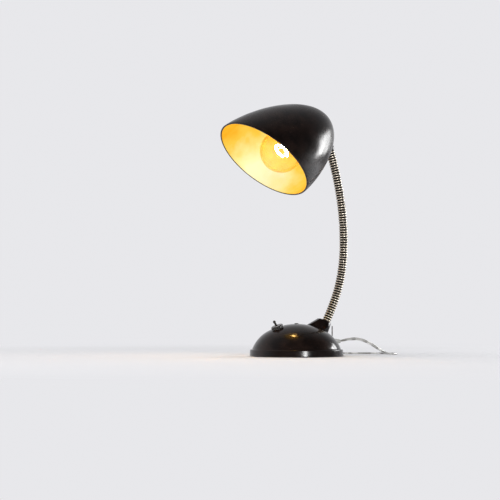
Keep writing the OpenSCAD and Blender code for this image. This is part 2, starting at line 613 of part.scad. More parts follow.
module head_leads() color([0.75, 0.72, 0.62]) {
  from = [for (d = [lug_l - 8, lug_l, lug_l + 5]) head_p + in_plane(head_lean, 0, d)];
  to = [for (q = [[9.5, 3], [5.4, 1.2], [2, 0], [-1.5, 0], [-4.5, 0]])
    globe_p + in_plane(bulb_lean, holder_base_r + q[0], lead_up + q[1])];
  for (s = [-1, 1]) lead([for (p = concat(from, to)) [1.25 * s, p[0], p[1]]]);
}

// ================================================================ cord
module cord_bush() color(clear) translate([0, 0, exit_z]) rotate([-90, 0, 0]) difference() {
  union() {
    translate([0, 0, bush_in]) cylinder(r = bush_flange, h = 1);
    translate([0, 0, bush_in]) cylinder(r = bush_r, h = 66 - bush_in);
    translate([0, 0, 66]) cylinder(r1 = bush_r, r2 = cord_w / 2 + 0.7, h = 14);
  }
  translate([0, 0, bush_in - 1]) cylinder(d = cord_w + 2 * fit, h = 60);
}
module cord_run() color(clear) tube(run_path, cord_w / 2, cord_t / 2, 8);
module cord_coil() color(clear) tube(coil_path, cord_w / 2, cord_t / 2, 6);
module cord_tie() color([0.08, 0.08, 0.08]) {
  in = coil_r - turn_w * (coil_turns + climb / 2) - cord_w / 2 - 0.4;
  out = coil_r + turn_w * climb / 2 + cord_w / 2 + 0.4;
  low = coil_z - cord_t / 2 - 0.1;
  high = coil_z + 3 * layer_z + cord_t / 2 + 0.1;
  translate([coil_c[0], coil_c[1], 0]) rotate([0, 0, coil_from - 75]) rotate([90, 0, 0])
    translate([0, 0, -2.5]) linear_extrude(5) difference() {
      translate([in - 0.8, low - 0.8]) square([out - in + 1.6, high - low + 1.6]);
      translate([in, low]) square([out - in, high - low]);
    }
}
// Puts its children on the plug's axis, Y along it from the cord's end to the pins.
module on_plug() {
  translate(plug_p) rotate([0, 0, coil_from]) children();
}
module plug_body() color([0.80, 0.79, 0.74]) on_plug() intersection() {
  translate([0, 0, -plug_z]) linear_extrude(plug_t) polygon([[-3.4, 0.2], [3.4, 0.2], [4.6, 9],
    [12.5, 16], [17.2, 24], [17.2, 32], [13.2, plug_l], [-13.2, plug_l], [-17.2, 32], [-17.2, 24],
    [-12.5, 16], [-4.6, 9]]);
  rotate([90, 0, 90]) linear_extrude(40, center = true) polygon([[0, -4], [9, -4.6], [14, -plug_z],
    [plug_l, -plug_z], [plug_l, plug_z], [14, plug_z], [9, 4.6], [0, 4]]);
}
module plug_pins() color(nickel) on_plug() for (s = [-1, 1])
  translate([9.3 * s, plug_l + seat, 0]) rotate([-90, 0, 0]) {
    cylinder(d = 4, h = 17, $fn = 32);
    translate([0, 0, 17]) cylinder(d1 = 4, d2 = 2.4, h = 2, $fn = 32);
  }

base_shell();
base_plate();
felt_pad();
ballast();
tie_rod();
ballast_nut();
crown_nut();
blanking_plug();
cord_hook();
switch_body();
switch_bushing();
switch_nut();
switch_lever();
switch_terminals();
terminal_block();
terminal_screws();
base_leads();
cord_bush();
foot_stud();
foot_washer();
foot_nut();
neck_hose_1();
neck_hose_2();
neck_hose_3();
neck_hose_4();
neck_hose_5();
neck_hose_6();
neck_hose_7();
head_collar();
head_stud();
head_leads();
shade();
holder_base();
holder_screws();
holder_contact();
holder_shell();
bulb_glass();
bulb_stem();
bulb_filament();
bulb_cap();
bulb_contact();
cord_run();
cord_coil();
cord_tie();
plug_body();
plug_pins();
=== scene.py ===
from math import acos, asin, cos, floor, pi, radians, sin, sqrt

import bmesh
import bpy
from mathutils import Matrix, Vector


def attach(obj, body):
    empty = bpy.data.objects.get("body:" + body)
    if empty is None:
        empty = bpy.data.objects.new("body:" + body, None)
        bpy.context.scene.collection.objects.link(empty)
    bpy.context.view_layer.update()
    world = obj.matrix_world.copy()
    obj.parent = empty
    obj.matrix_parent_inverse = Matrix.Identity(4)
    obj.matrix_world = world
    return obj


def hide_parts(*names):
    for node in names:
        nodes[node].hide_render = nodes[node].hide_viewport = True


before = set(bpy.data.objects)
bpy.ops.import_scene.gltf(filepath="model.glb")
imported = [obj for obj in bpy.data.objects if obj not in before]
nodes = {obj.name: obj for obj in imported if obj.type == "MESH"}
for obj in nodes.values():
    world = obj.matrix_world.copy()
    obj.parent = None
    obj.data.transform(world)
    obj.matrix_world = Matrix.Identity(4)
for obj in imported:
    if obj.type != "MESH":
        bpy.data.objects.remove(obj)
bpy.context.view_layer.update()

# ---------------------------------------------------------------- the camera
# It stands 2.6 m from the lamp, a little higher than the base's dome, and sees the lamp
# from its left front, with the base to the right of the picture's middle.
view_turn, view_tilt, view_distance, view_height, view_aside = 146.5, 91.956, 2.6, 0.07, 0.06937
away = Vector((cos(radians(view_turn)), sin(radians(view_turn)), 0))
right = Vector((away.y, -away.x, 0))
lens = bpy.data.cameras.new("photographer")
lens.sensor_width, lens.lens, lens.clip_end = 36, 125.3, 60
camera = bpy.data.objects.new("photographer", lens)
camera.location = -view_aside * right - view_distance * away + Vector((0, 0, view_height))
camera.rotation_euler = radians(view_tilt), 0, radians(view_turn - 90)
bpy.context.scene.collection.objects.link(camera)
bpy.context.scene.camera = camera
bpy.context.scene.view_settings.view_transform = "Standard"

# ---------------------------------------------------------------- the cord
# Flat twin cord in clear plastic over tinned strands. It leaves its strain relief, sags
# to the ground, turns back behind the base and is coiled there in four layers, with its
# plug beside the coil. Its route and its coil are given in millimetres.
cord_w, cord_t = 0.0044, 0.0026
cord_route = [
    (0, 60, 21.8), (0, 70, 21.8), (0, 80, 22), (0, 91, 23.8), (0, 103, 25.1),
    (0, 115, 24.8), (0, 127, 22), (0, 139, 17.2), (0, 149, 12.2), (0, 158, 7.6),
    (0, 166, 4.2), (0, 173, 2.2), (0, 179, 1.4), (-1, 185.2, 1.3), (-4, 191, 1.3),
    (-8.5, 195.4, 1.3), (-14.2, 198.1, 1.3), (-20.7, 199, 1.3), (-26.8, 197.8, 1.3),
    (-32.3, 194.8, 1.3), (-36.7, 190, 1.3), (-48, 172.9, 1.3), (-60, 154.8, 1.3),
    (-72, 136.7, 1.4), (-84, 118.5, 1.9), (-90.5, 108.7, 2.2),
]
coil_middle, coil_r, coil_low = Vector((-71.6, 81.7, 0)), 30.6, 2.2
layers, coil_turns, climb, turn_step, layer_step = 4, 1.875, 0.5, 4.9, 3.1
steps_a_turn, lead_in, plug_tail, plug_height = 24, 4.4, 36, 6.85


def through(points, steps):
    """A smooth line through points, with a number of steps from each one to the next."""
    spots = [Vector(p) for p in points]
    line = []
    for i in range(len(spots) - 1):
        a, b = spots[max(i - 1, 0)], spots[i]
        c, d = spots[i + 1], spots[min(i + 2, len(spots) - 1)]
        for j in range(steps):
            t = j / steps
            bend = 2 * a - 5 * b + 4 * c - d + t * (3 * (b - c) + d - a)
            line.append(b + 0.5 * t * (c - a + t * bend))
    return line + [spots[-1]]


def coiled(turns):
    """The cord's middle after a number of turns: in, out, in and out, each a layer higher."""
    leg = min(floor((turns + climb / 2) / (coil_turns + climb)), layers - 1)
    wound = turns - leg * (coil_turns + climb)
    inward = wound if leg % 2 == 0 else coil_turns - wound
    layer = min(floor(turns / (coil_turns + climb)), layers - 1)
    rise = (turns - layer * (coil_turns + climb) - coil_turns) / climb
    if layer < layers - 1 and rise > 0:
        layer += (1 - cos(pi * min(rise, 1))) / 2
    angle = radians(view_turn) + 2 * pi * turns
    spot = Vector((cos(angle), sin(angle), 0)) * (coil_r - turn_step * inward)
    return coil_middle + spot + Vector((0, 0, coil_low + layer_step * layer))


all_turns = layers * coil_turns + (layers - 1) * climb
winding = [coiled(i / steps_a_turn) for i in range(round(steps_a_turn * all_turns) + 1)]
leaves = winding[-1]
tail = [leaves - s * right - Vector((0, 0, d)) for s, d in
        ((6, 0), (12, 0), (17, 0.8), (23, 2.6), (28.5, 4.2), (33, leaves.z - plug_height),
         (plug_tail, leaves.z - plug_height))]
cord_line = [p / 1000 for p in
             through(cord_route, 3) + [winding[0] + lead_in * right] + winding + tail]
lobe, spread = cord_t / 2, (cord_w - cord_t) / 2
valley = pi - acos(spread / lobe)
cord_edge = [Vector((side * (spread + lobe * cos(a)), 0, side * lobe * sin(a)))
             for side in (1, -1) for a in [valley * (k / 4 - 1) for k in range(8)]]


def swept(name, edge, line, roll=lambda d: 0):
    """A mesh tube with the closed outline edge, in its X and Z, carried along a line of points
    and rolled about the line by an angle that depends on the distance along it."""
    mesh = bmesh.new()
    along = mesh.verts.layers.float.new("along")
    across = mesh.verts.layers.float.new("across")
    reach = [0]
    for a, b in zip(line, line[1:]):
        reach.append(reach[-1] + (b - a).length)

    def stance(i):
        ahead = (line[min(i + 1, len(line) - 1)] - line[max(i - 1, 0)]).normalized()
        side = ahead.cross(Vector((0, 0, 1))).normalized()
        turn = Matrix((side, ahead, side.cross(ahead))).transposed().to_4x4()
        return Matrix.Translation(line[i]) @ turn @ Matrix.Rotation(roll(reach[i]), 4, "Y")

    ring = [mesh.verts.new(stance(0) @ p) for p in edge]
    for vert, p in zip(ring, edge):
        vert[across] = p.x
    start = mesh.faces.new(ring)
    rim = list(start.edges)
    for i in range(1, len(line)):
        made = bmesh.ops.extrude_edge_only(mesh, edges=rim)["geom"]
        step = stance(i) @ stance(i - 1).inverted()
        ring = [g for g in made if isinstance(g, bmesh.types.BMVert)]
        rim = [g for g in made
               if isinstance(g, bmesh.types.BMEdge) and all(v in ring for v in g.verts)]
        bmesh.ops.transform(mesh, matrix=step, verts=ring)
        for vert in ring:
            vert[along] = reach[i]
    bmesh.ops.edgeloop_fill(mesh, edges=rim)
    bmesh.ops.recalc_face_normals(mesh, faces=mesh.faces)
    return placed(name, mesh)


def placed(name, mesh):
    """A named, smooth object in the scene that holds a finished bmesh."""
    data = bpy.data.meshes.new(name)
    mesh.to_mesh(data)
    mesh.free()
    data.shade_smooth()
    piece = bpy.data.objects.new(name, data)
    bpy.context.scene.collection.objects.link(piece)
    return piece


class Flow:
    """A socket in a node tree, which sums and products can be written with."""

    def __init__(self, wiring, socket):
        self.wiring, self.socket = wiring, socket

    def maths(self, operation, *values):
        return self.wiring.node("Math", values, operation=operation)

    def __add__(self, other):
        return self.maths("ADD", self, other)

    def __sub__(self, other):
        return self.maths("SUBTRACT", self, other)

    def __rsub__(self, other):
        return self.maths("SUBTRACT", other, self)

    def __mul__(self, other):
        return self.maths("MULTIPLY", self, other)

    def __truediv__(self, other):
        return self.maths("DIVIDE", self, other)

    def __rtruediv__(self, other):
        return self.maths("DIVIDE", other, self)

    def __pow__(self, other):
        return self.maths("POWER", self, other)

    def __rpow__(self, other):
        return self.maths("POWER", other, self)

    def __abs__(self):
        return self.maths("ABSOLUTE", self)

    __radd__ = __add__
    __rmul__ = __mul__

    def wave(self):
        """The sine of this number of turns."""
        return self.maths("SINE", self * 2 * pi)

    def between(self, low, high, start=0, end=1):
        """This value's place between low and high, on a scale from start to end."""
        return self.wiring.node("MapRange", (self, low, high, start, end))


class Wiring:
    """A node tree, and the one way that its nodes are made and joined."""

    def __init__(self, tree):
        self.tree = tree

    def node(self, kind, sockets=(), out=0, stops=None, **settings):
        node = self.tree.nodes.new("ShaderNode" + kind)
        for setting, value in settings.items():
            setattr(node, setting, value)
        for i, (place, colour) in enumerate(stops or ()):
            ramp = node.color_ramp.elements
            stop = ramp[i] if i < 2 else ramp.new(place)
            stop.position, stop.color = place, (*colour, 1)
        pairs = sockets.items() if isinstance(sockets, dict) else enumerate(sockets)
        for socket, value in pairs:
            if isinstance(value, Flow):
                self.tree.links.new(value.socket, node.inputs[socket])
            else:
                node.inputs[socket].default_value = value
        return Flow(self, node.outputs[out])


class Finish(Wiring):
    """A material: one Principled shader, and the nodes that vary it over the surface."""

    def __init__(self, name, **values):
        self.material = bpy.data.materials.new(name)
        self.material.use_nodes = True
        super().__init__(self.material.node_tree)
        self.shader = self.tree.nodes["Principled BSDF"]
        self.plain = Flow(self, self.shader.outputs[0])
        for setting, value in values.items():
            self.socket(setting).default_value = value

    def socket(self, name):
        return self.shader.inputs[name.replace("_", " ").title().replace("Ior", "IOR")]

    def feed(self, **values):
        for name, value in values.items():
            self.tree.links.new(value.socket, self.socket(name))

    def show(self, amount, low, high):
        """Shows a mix of two shaders, where the Principled one alone would be shown."""
        mixed = self.node("MixShader", (amount, low, high))
        self.tree.links.new(mixed.socket, self.tree.nodes["Material Output"].inputs[0])

    def place(self):
        """Object coordinates, in metres."""
        return self.node("TexCoord", out="Object")

    def carried(self, name):
        """A number that the mesh carries on its points."""
        return self.node("Attribute", out="Fac", attribute_name=name)

    def noise(self, scale, detail=2):
        return self.node("TexNoise", {"Vector": self.place(), "Scale": scale, "Detail": detail})

    def blend(self, amount, low, high):
        """A colour between two colours."""
        return self.node("Mix", {0: amount, 6: low if isinstance(low, Flow) else (*low, 1),
                                 7: high if isinstance(high, Flow) else (*high, 1)},
                         out=2, data_type="RGBA")

    def rough(self, height, strength=0.3, distance=0.0002):
        """A bump from a height of 0 to 1."""
        self.feed(normal=self.node("Bump", {"Height": height, "Strength": strength,
                                            "Distance": distance}))

    def on(self, *pieces):
        """Gives this finish to objects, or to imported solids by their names."""
        for piece in pieces:
            materials = (nodes[piece] if isinstance(piece, str) else piece).data.materials
            materials.clear()
            materials.append(self.material)


clear_sheath = Finish("clear sheath over strands", roughness=0.28, coat_weight=0.8,
                      coat_roughness=0.12)
along, across = clear_sheath.carried("along"), clear_sheath.carried("across")
strands_along, strands_across, patches_along, web_half = 700, 1900, 45, 0.0011
strands = (along * strands_along + across * strands_across).wave() * 0.5 + 0.5
web = (abs(across) / web_half).between(0.1, 0.45)
patch = (along * patches_along + clear_sheath.noise(60) * 1.5).wave().between(-0.9, 0.5)
metal = clear_sheath.blend(strands * 0.4 + patch * 0.6, (0.17, 0.165, 0.155), (0.86, 0.85, 0.82))
clear_sheath.feed(base_color=clear_sheath.blend(web, (0.60, 0.60, 0.57), metal),
                  metallic=web * 0.45)
clear_sheath.rough(strands * web + clear_sheath.noise(900), 0.15)
full_roll, rolls_from, rolls_within, flat_from, flat_within = radians(80), 0.018, 0.03, 0.128, 0.035


def free_roll(distance):
    """The cord turns its flat side upright where it hangs free, and lies down again."""
    rise = min(max((distance - rolls_from) / rolls_within, 0), 1)
    fall = min(max((flat_from - distance) / flat_within, 0), 1)
    return full_roll * sin(pi / 2 * rise) ** 2 * sin(pi / 2 * fall) ** 2


cord = swept("cord", cord_edge, cord_line, free_roll)
clear_sheath.on(cord)
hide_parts("cord_run", "cord_coil")
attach(cord, "base")
cord_length = sum((b - a).length for a, b in zip(cord_line, cord_line[1:]))

# ---------------------------------------------------------------- the room
# A pale floor, and a pale surround that darkens above and behind the camera. Two windows
# light the lamp: a wide one with two panes at the picture's right, and a small one beside
# the camera. A ceiling light and a fill light on the left give no reflections.
backdrop, daylight = 0.83, (0.97, 0.97, 1.0, 1)
room = bpy.data.worlds.new("room")
room.use_nodes = True
bpy.context.scene.world = room
surround = Wiring(room.node_tree)
glow = surround.tree.nodes["Background"]
glow.inputs["Color"].default_value = daylight


def ramped(direction, low, high, start, end):
    """The world's strength from start to end as a ray turns towards a direction."""
    ray = surround.node("TexCoord", out="Generated")
    turned = surround.node("VectorMath", (ray, direction), out="Value", operation="DOT_PRODUCT")
    return turned.between(low, high, start, end)


dimmed = (ramped(0.89 * away - 0.45 * right, -0.3, 0.55, 0.06, backdrop)
          * ramped((0, 0, 1), 0.15, 0.7, 1.0, 0.5))
direct = surround.node("Math", (surround.node("LightPath", out="Is Camera Ray"),
                                surround.node("LightPath", out="Is Transmission Ray")),
                       operation="MAXIMUM")
seen = surround.node("Mix", {0: direct, 2: dimmed, 3: backdrop})
surround.tree.links.new(seen.socket, glow.inputs["Strength"])

mesh = bmesh.new()
bmesh.ops.create_grid(mesh, x_segments=4, y_segments=4, size=8)
floor_piece = placed("floor", mesh)
floor_paint = Finish("pale floor", roughness=0.75)
speckle = floor_paint.noise(3, 3)
floor_paint.feed(base_color=floor_paint.blend(speckle, (0.74, 0.74, 0.76), (0.78, 0.78, 0.80)))
far = floor_paint.node("VectorMath", (floor_paint.place(),), out="Value", operation="LENGTH")
horizon = floor_paint.node("Emission", {"Color": daylight, "Strength": backdrop})
floor_paint.show(far.between(0.25, 0.9) * floor_paint.node("LightPath", out="Is Camera Ray"),
                 floor_paint.plain, horizon)
floor_paint.on(floor_piece)


def shining(name, kind, power, spot):
    """A light of a kind, at a spot in the scene."""
    light = bpy.data.lights.new(name, kind)
    light.energy = power
    lamp = bpy.data.objects.new(name, light)
    lamp.location = spot
    bpy.context.scene.collection.objects.link(lamp)
    return lamp


def window(name, direction, distance, width, height, power, aim=0.15):
    """An area light that faces a height on the lamp's axis, from a direction that is given
    to the right, away and up."""
    way = direction[0] * right + direction[1] * away + direction[2] * Vector((0, 0, 1))
    lamp = shining(name, "AREA", power, Vector((0, 0, aim)) + distance * way.normalized())
    lamp.data.shape, lamp.data.size, lamp.data.size_y = "RECTANGLE", width, height
    lamp.rotation_euler = way.to_track_quat("Z", "Y").to_euler()
    return lamp


window("wide window, right pane", (0.90, 0.42, 0.18), 1.8, 0.38, 0.64, 15, 0.2)
window("wide window, left pane", (0.78, 0.62, 0.18), 1.8, 0.30, 0.64, 5.5, 0.2)
window("small window", (0.34, -0.94, 0.10), 2.2, 0.30, 0.35, 20, 0.06)
for soft in (window("ceiling light", (-0.3, -0.2, 1), 2.2, 2.0, 2.0, 32),
             window("fill light", (-0.8, -0.5, 0.25), 2.0, 1.2, 1.2, 20)):
    soft.visible_glossy = False

# ---------------------------------------------------------------- base moulding
# A dome on a rim band, moulded in one with the raised boss that the neck stands in.
# The outline is two arcs, a flat crown and a tighter shoulder, then a bead and the band.
crown_z, crown_r, shoulder_r, turn_at = 0.0486, 0.090, 0.052, radians(28)
band_r, band_top, shell_low, shell_wall, lining_low = 0.070, 0.0102, 0.0006, 0.003, 0.009
seat_r, seat_z, mouth_r = 0.0667, 0.0031, 0.0637
crown_c = Vector((0, crown_z - crown_r))
shoulder_c = crown_c + (crown_r - shoulder_r) * Vector((sin(turn_at), cos(turn_at)))
foot_p, foot_lean = Vector((0, 0.0544, 0.0515)), radians(29)


def on_dome(angle, thinner=0):
    """A point of the dome's outline, (radius, height), where it slopes at an angle."""
    c, r = (crown_c, crown_r) if angle < turn_at else (shoulder_c, shoulder_r)
    return c + (r - thinner) * Vector((sin(angle), cos(angle)))


def spun(points, steps=96, closed=False):
    """A bmesh turned from an outline of (radius, height) points about the Z axis."""
    mesh = bmesh.new()
    line = [mesh.verts.new((r, 0, z)) for r, z in points]
    pairs = list(zip(line, line[1:] + line[:1])) if closed else list(zip(line, line[1:]))
    edges = [mesh.edges.new(pair) for pair in pairs]
    bmesh.ops.spin(mesh, geom=line + edges, cent=(0, 0, 0), axis=(0, 0, 1), angle=2 * pi,
                   steps=steps, use_merge=True)
    bmesh.ops.remove_doubles(mesh, verts=mesh.verts, dist=1e-6)
    bmesh.ops.recalc_face_normals(mesh, faces=mesh.faces)
    return mesh


def leaning(spot, lean):
    """Puts a piece at a place in the lamp's middle plane, its Z leaning to the rear."""
    return Matrix.Translation(spot) @ Matrix.Rotation(-lean, 4, "X")


low_angle = acos((band_top - 0.0003 - shoulder_c.y) / shoulder_r)
dome_line = [on_dome(low_angle * i / 24) for i in range(25)]
foot = dome_line[-1].x
band = [(foot + 0.0006, band_top - 0.0006), (foot + 0.0011, band_top - 0.0003),
        (foot + 0.0015, band_top), (band_r - 0.0013, band_top),
        (band_r - 0.0008, band_top - 0.0003), (band_r - 0.0005, band_top - 0.0009),
        (band_r - 0.00048, band_top - 0.0012), (band_r - 0.00002, shell_low + 0.0011),
        (band_r, shell_low + 0.0008), (band_r - 0.0006, shell_low),
        (seat_r + 0.0001, shell_low), (seat_r, seat_z), (mouth_r, seat_z)]
inner = [on_dome(low_angle * i / 12, shell_wall) for i in range(12, -1, -1)]
inner = [p for p in inner if p.y > lining_low]
mesh = spun([tuple(p) for p in dome_line] + band + [tuple(p) for p in inner])
base_moulding = placed("base_moulding", mesh)

boss_rings = (-0.026, 0.0105), (-0.0008, 0.0083), (0, 0.0075)
boss_corners = (0.003, 0.0415, 0.0551, 0.0014), (0.002, 0.020, 0.0445, 0.002)
boss_round, ridge_angle, ridge_length = 0.0012, radians(18), 0.004
mesh = bmesh.new()
axis = leaning(foot_p, foot_lean)
for z, r in boss_rings:
    bmesh.ops.create_circle(mesh, segments=40, radius=r,
                            matrix=axis @ Matrix.Translation((0, 0, z)))
for x, y, z, r in boss_corners:
    for side in (-1, 1):
        bmesh.ops.create_uvsphere(mesh, u_segments=16, v_segments=8, radius=r,
                                  matrix=Matrix.Translation((side * x, y, z)))
bmesh.ops.convex_hull(mesh, input=mesh.verts)
loose = [v for v in mesh.verts if not v.link_faces]
bmesh.ops.delete(mesh, geom=loose, context="VERTS")
bmesh.ops.dissolve_limit(mesh, angle_limit=radians(1), verts=mesh.verts, edges=mesh.edges)
ridges = [e for e in mesh.edges
          if e.calc_face_angle(0) > ridge_angle and e.calc_length() > ridge_length]
bmesh.ops.bevel(mesh, geom=ridges, offset=boss_round, segments=3, profile=0.5,
                affect="EDGES", material=-1)
bmesh.ops.recalc_face_normals(mesh, faces=mesh.faces)
boss = placed("neck_boss", mesh)


def phenolic(name, polish, dullest):
    """Mottled dark brown phenolic moulding, between two roughnesses."""
    finish = Finish(name, specular_ior_level=0.32)
    mottle = finish.noise(55, 6).between(0.38, 0.68)
    smear = finish.noise(24, 3).between(0.3, 0.7)
    specks = finish.noise(900, 2).between(0.62, 0.75)
    finish.feed(base_color=finish.blend(mottle, (0.0045, 0.0030, 0.0028), (0.013, 0.0075, 0.006)),
                roughness=smear * (dullest - polish) + specks * 0.1 + polish)
    finish.rough(finish.noise(260, 4) + finish.noise(30, 1) * 2, 0.06, 0.0003)
    return finish


polished = phenolic("dark phenolic moulding", 0.12, 0.22)
polished.on(base_moulding, boss)
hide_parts("base_shell")
for piece in (base_moulding, boss):
    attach(piece, "base")

# ---------------------------------------------------------------- under the base
# A steel plate closes the moulding and a felt pad is glued under it. A countersunk
# rod through the cast ballast disc clamps them all to the low nut on the crown.
felt = Finish("green felt", roughness=0.95, sheen_weight=0.5)
fibres = felt.noise(1500, 4)
felt.feed(base_color=felt.blend(fibres, (0.012, 0.035, 0.020), (0.035, 0.085, 0.050)))
felt.rough(fibres, 0.8, 0.0006)
felt.on("felt_pad")

steel = Finish("plain steel", metallic=1.0, roughness=0.35)
grain = steel.noise(420, 4)
steel.feed(base_color=steel.blend(grain, (0.34, 0.34, 0.35), (0.52, 0.52, 0.53)),
           roughness=grain * 0.25 + 0.22)
steel.on("base_plate", "tie_rod", "ballast_nut", "foot_stud", "foot_washer", "head_stud",
         "holder_screws", "switch_bushing")

iron = Finish("cast iron", metallic=0.7, roughness=0.65)
sand = iron.noise(480, 5)
iron.feed(base_color=iron.blend(sand, (0.05, 0.05, 0.052), (0.13, 0.13, 0.132)))
iron.rough(sand, 0.7, 0.0006)
iron.on("ballast")

dark_steel = Finish("blackened steel", metallic=0.85, roughness=0.4)
rub = dark_steel.noise(600, 4).between(0.45, 0.7)
dark_steel.feed(base_color=dark_steel.blend(rub, (0.018, 0.016, 0.015), (0.12, 0.11, 0.10)),
                roughness=0.5 - rub * 0.2)
dark_steel.on("crown_nut", "cord_hook")

# ---------------------------------------------------------------- switch and base wiring
# A toggle switch hangs in the dome by its threaded bushing, under a knurled ring nut.
# Its leads and those of the neck and cord meet in a terminal block on the ballast.
black = Finish("black moulding", roughness=0.32)
worn = black.noise(700, 3).between(0.4, 0.75)
black.feed(base_color=black.blend(worn, (0.010, 0.009, 0.009), (0.030, 0.027, 0.026)),
           roughness=worn * 0.2 + 0.24)
black.rough(black.noise(1500, 2), 0.1)
black.on("switch_nut", "switch_lever", "blanking_plug", "head_collar", "cord_tie")

brown_board = Finish("brown laminate", roughness=0.5)
plies = brown_board.noise(300, 4)
brown_board.feed(base_color=brown_board.blend(plies, (0.05, 0.022, 0.012), (0.10, 0.05, 0.028)))
brown_board.on("switch_body")

brass = Finish("brass", metallic=1.0, roughness=0.3)
tarnish = brass.noise(500, 4)
brass.feed(base_color=brass.blend(tarnish, (0.42, 0.27, 0.09), (0.68, 0.49, 0.20)),
           roughness=0.45 - tarnish * 0.25)
brass.on("switch_terminals", "terminal_screws", "foot_nut", "holder_contact", "bulb_contact")

cream = Finish("cream moulding", roughness=0.4)
cloud = cream.noise(120, 3)
cream.feed(base_color=cream.blend(cloud, (0.52, 0.49, 0.42), (0.64, 0.61, 0.54)),
           roughness=cloud * 0.2 + 0.3)
cream.on("terminal_block", "plug_body")

insulation = Finish("lead insulation", roughness=0.5)
shift = insulation.noise(200, 2)
insulation.feed(base_color=insulation.blend(shift, (0.30, 0.27, 0.20), (0.42, 0.38, 0.29)))
insulation.on("base_leads", "head_leads")

sheath = Finish("clear soft plastic", roughness=0.25, coat_weight=0.5)
milky = sheath.noise(400, 3)
sheath.feed(base_color=sheath.blend(milky, (0.34, 0.34, 0.33), (0.50, 0.50, 0.48)),
            roughness=milky * 0.2 + 0.2)
sheath.on("cord_bush")

for name, width in (("plug_body", 0.0014), ("terminal_block", 0.0004), ("cord_tie", 0.0003),
                    ("switch_body", 0.0006), ("switch_nut", 0.0002), ("ballast", 0.0008),
                    ("head_collar", 0.0003)):
    round_off = nodes[name].modifiers.new("rounded edges", "BEVEL")
    round_off.width, round_off.segments, round_off.angle_limit = width, 3, radians(25)
    nodes[name].data.shade_smooth()

plated = Finish("nickel plate", metallic=1.0, roughness=0.2)
dull = plated.noise(350, 3)
plated.feed(base_color=plated.blend(dull, (0.55, 0.53, 0.49), (0.72, 0.70, 0.66)),
            roughness=dull * 0.2 + 0.12)
plated.on("plug_pins", "bulb_cap")

# ---------------------------------------------------------------- neck
# Ribbed hose wound from nickel-plated strip. It is in seven lengths that meet in a nose
# and a socket, so that the neck bends fore and aft and to the side where they meet.
leans = [radians(a) for a in (29, 23, 12, 2, -4, -10, -15, -20)]
length, ribs, rib_r, valley_r = 0.0383, 10, 0.0066, 0.0054
bend_max, bend_gap, foot_sink = radians(14), 0.0003, 0.003
joint_gap = (valley_r * sin(bend_max) + bend_gap) / 2
hose_bore, nose_r, nose_rise, socket_r, socket_depth = 0.0034, 0.0047, 0.003, 0.005, 0.0042
rib_half = 0.3
rib_points = 0.2, 0.21, 0.24, 0.3, 0.38, 0.5, 0.62, 0.7, 0.76, 0.79, 0.8, 1
lengths = len(leans) - 1


def arc(a, b, distance):
    """How far an arc of a length goes while its lean turns from a to b."""
    return distance / (b - a) * Vector((cos(a) - cos(b), sin(b) - sin(a)))


def neck_end(i):
    """Where length i of the hose starts, in the lamp's middle plane."""
    if i == 0:
        return Vector((foot_p.y, foot_p.z))
    return neck_end(i - 1) + arc(leans[i - 1], leans[i], length)


def neck_place(i, distance):
    """The stance of the hose's section at a distance along length i."""
    d = min(max(distance, 0), length)
    a = leans[i]
    lean = a + (leans[i + 1] - a) * d / length
    spot = neck_end(i)
    if d > 0:
        spot = spot + arc(a, lean, d)
    spot = spot + (distance - d) * Vector((sin(lean), cos(lean)))
    return leaning(Vector((0, spot.x, spot.y)), lean)


def hose_outline(first, last):
    """(radius, distance) up the ribs of a length of hose and back down its bore."""
    pitch = length / ribs
    start = -foot_sink if first else joint_gap
    stop = length if last else length - joint_gap
    line = [(valley_r, start)]
    for k in range(ribs):
        for t in rib_points:
            z = min(pitch * (k + t), stop)
            if z < start:
                continue
            bulge = max(0, 1 - ((t - 0.5) / rib_half) ** 2) ** 0.5 if t < 1 else 0
            line.append((valley_r + (rib_r - valley_r) * bulge, z))
    if last:
        line += [(hose_bore, stop)]
    else:
        line += [(nose_r, stop + 0.00005), (nose_r, length), (nose_r - 0.00035, length + 0.0017),
                 (nose_r - 0.0011, length + nose_rise), (hose_bore, length + nose_rise)]
    line += [(hose_bore, length * t) for t in (0.8, 0.6, 0.4, 0.2)]
    if first:
        return line + [(hose_bore, start)]
    return line + [(hose_bore, socket_depth + 0.0002), (socket_r, socket_depth), (socket_r, start)]


nickel = Finish("warm nickel strip", metallic=0.85, roughness=0.3)
groove_depth_painted_dark = nickel.carried("groove_depth_painted_dark")
wipe = nickel.noise(300, 3)
bright = nickel.blend(wipe, (0.72, 0.63, 0.51), (0.90, 0.81, 0.68))
# The grooves between the ribs are painted near-black by their depth: painted shade between the
# ribs.
nickel.feed(base_color=nickel.blend(groove_depth_painted_dark.between(0.05, 0.35), bright, (0.010, 0.007, 0.005)),
            roughness=groove_depth_painted_dark * 0.3 + wipe * 0.15 + 0.25)
for i in range(lengths):
    mesh = spun(hose_outline(i == 0, i == lengths - 1), steps=32, closed=True)
    depth_at = mesh.verts.layers.float.new("groove_depth_painted_dark")
    for vert in mesh.verts:
        r = sqrt(vert.co.x ** 2 + vert.co.y ** 2)
        vert[depth_at] = min(max((rib_r - r) / (rib_r - valley_r), 0), 1)
        vert.co = neck_place(i, vert.co.z) @ Vector((vert.co.x, vert.co.y, 0))
    hose = placed(f"hose_{i + 1}", mesh)
    nickel.on(hose)
    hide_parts(f"neck_hose_{i + 1}")
    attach(hose, ("base", "neck_1", "neck_2", "neck_3", "neck_4", "neck_5", "head")[i])

# ---------------------------------------------------------------- shade
# A helmet moulded in the base's material, its crown raked back over the neck, with a lug
# on its rear wall for the neck's threaded end. Its inside is enamelled, and the bulb's light
# on the enamel is painted in as an emitted warm glow.
shade_r, shade_h, shade_wall, shade_back, fullness = 0.077, 0.124, 0.0024, 0.0325, 1.26
rake = shade_back / shade_h
shade_spot, shade_lean = Vector((0, -0.0587, 0.2917)), radians(41)
in_shade = leaning(shade_spot, shade_lean)
globe_spot, globe_lean = Vector((0, 0.0148, 0.0315)), radians(8)
on_bulb = in_shade @ leaning(globe_spot, globe_lean)


